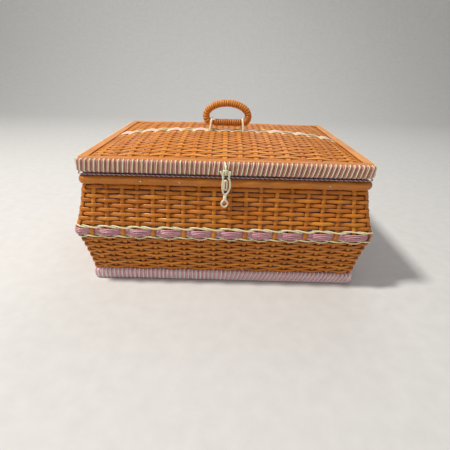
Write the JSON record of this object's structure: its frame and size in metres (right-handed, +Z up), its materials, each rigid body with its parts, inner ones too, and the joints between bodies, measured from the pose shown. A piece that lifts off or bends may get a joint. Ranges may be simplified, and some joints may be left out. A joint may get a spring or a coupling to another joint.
{
  "type": "sewing basket",
  "caption": "Woven cane sewing basket with a hinged crowned lid, a swinging wound D handle, a lacing belt and rims, a satin lining and a lacing hasp.",
  "frame": {"origin": "under the middle of the base, on the surface that the basket stands on", "axes": "+X along the width, to the right seen from the front; -Y towards the front, where the hasp is; +Z up"},
  "size_m": [0.3626, 0.2826, 0.2116],
  "materials": {
    "weave": "satin",
    "cane": "gloss",
    "strip": "gloss",
    "pink_lacing": "satin",
    "pale_lacing": "satin",
    "cream_lacing": "satin",
    "satin": "satin",
    "braid": "satin",
    "card": "matte",
    "nail": "satin"
  },
  "bodies": {
    "body": {"base_panel": "weave", "base_core": "cane", "base_wrap": "pale_lacing", "body_wall": "weave", "belt_bundle": "pink_lacing", "belt_twine_top": "cream_lacing", "belt_twine_bottom": "cream_lacing", "body_rim_outer": "cane", "body_rim_inner": "cane", "rim_nail_1": "nail", "rim_nail_2": "nail", "rim_nail_3": "nail", "rim_nail_4": "nail", "rim_nail_5": "nail", "rim_nail_6": "nail", "floor_card": "card", "floor_pad": "satin", "body_lining": "satin", "lining_braid": "braid", "hinge_eye_left": "cream_lacing", "hinge_eye_right": "cream_lacing", "hasp_keeper": "cream_lacing"},
    "lid": {"lid_core": "cane", "lid_wrap": "pink_lacing", "lid_band_front": "cane", "lid_band_back": "cane", "lid_band_left": "cane", "lid_band_right": "cane", "lid_panel": "weave", "lid_stripe": "pink_lacing", "lid_twine_front": "cream_lacing", "lid_twine_rear": "cream_lacing", "lid_card": "card", "lid_lining": "satin", "lid_braid": "braid", "hinge_link_left": "cream_lacing", "hinge_link_right": "cream_lacing", "handle_loop_left": "cream_lacing", "handle_loop_right": "cream_lacing", "hasp_anchor": "cream_lacing"},
    "handle": {"handle_core": "cane", "handle_arch_winding": "strip", "handle_bar_winding": "strip"},
    "hasp": {"hasp_loop": "cream_lacing"}
  },
  "joints": [
    {"name": "lid_hinge", "type": "hinge", "parent": "body", "child": "lid", "pos_m": [0, 0.134, 0.1415], "axis": [-1, 0, 0], "range_deg": [0, 105]},
    {"name": "handle_swing", "type": "hinge", "parent": "lid", "child": "handle", "pos_m": [0, 0, 0.1807], "axis": [1, 0, 0], "range_deg": [-96, 96]},
    {"name": "hasp_swing", "type": "hinge", "parent": "lid", "child": "hasp", "pos_m": [0, -0.1336, 0.1505], "axis": [-1, 0, 0], "range_deg": [0, 150]}
  ]
}
